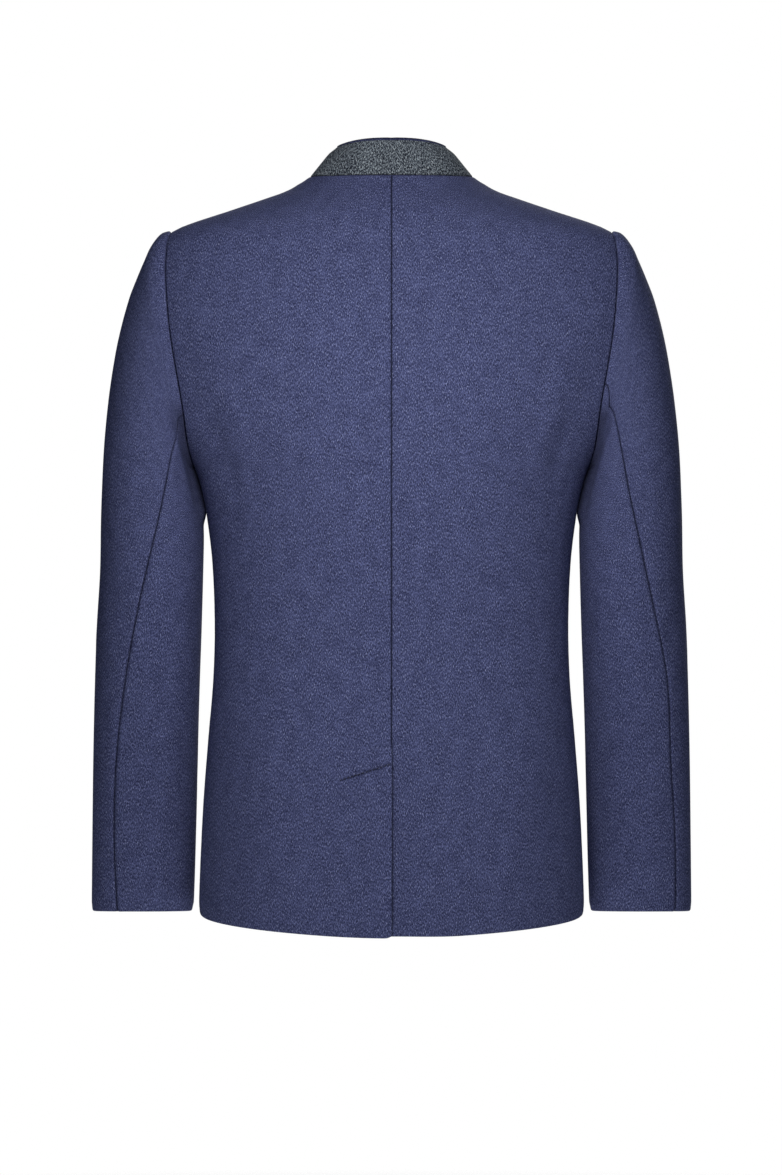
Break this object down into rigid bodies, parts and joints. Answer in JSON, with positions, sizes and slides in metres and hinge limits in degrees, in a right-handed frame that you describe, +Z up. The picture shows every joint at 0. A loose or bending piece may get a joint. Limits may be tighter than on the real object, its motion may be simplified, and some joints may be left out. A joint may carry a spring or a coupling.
{
  "type": "loden jacket",
  "caption": "Men's loden jacket in its worn, hollow form, with stand collar, two-piece sleeves, buttoned front and a back vent.",
  "frame": {"origin": "middle of the neck opening, at the height of the back collar seam, where the wearer's neck and shoulders hold the jacket", "axes": "+Z up, +Y towards the back, +X towards the wearer's left"},
  "size_m": [0.5788, 0.2781, 0.7563],
  "materials": {
    "loden_navy": "matt milled wool, navy melange with a soft nap",
    "loden_charcoal": "matt milled wool, charcoal melange",
    "horn": "dark horn, satin polish"
  },
  "bodies": {
    "root": {"back_left": "loden_navy", "back_right": "loden_navy", "vent_underlap": "loden_navy", "front_left": "loden_navy", "front_right": "loden_navy", "sleeve_left_top": "loden_navy", "sleeve_left_under": "loden_navy", "sleeve_right_top": "loden_navy", "sleeve_right_under": "loden_navy", "collar_inner": "loden_navy", "collar_outer": "loden_charcoal", "button_1": "horn", "button_2": "horn", "button_3": "horn", "button_4": "horn", "button_5": "horn"}
  },
  "joints": []
}
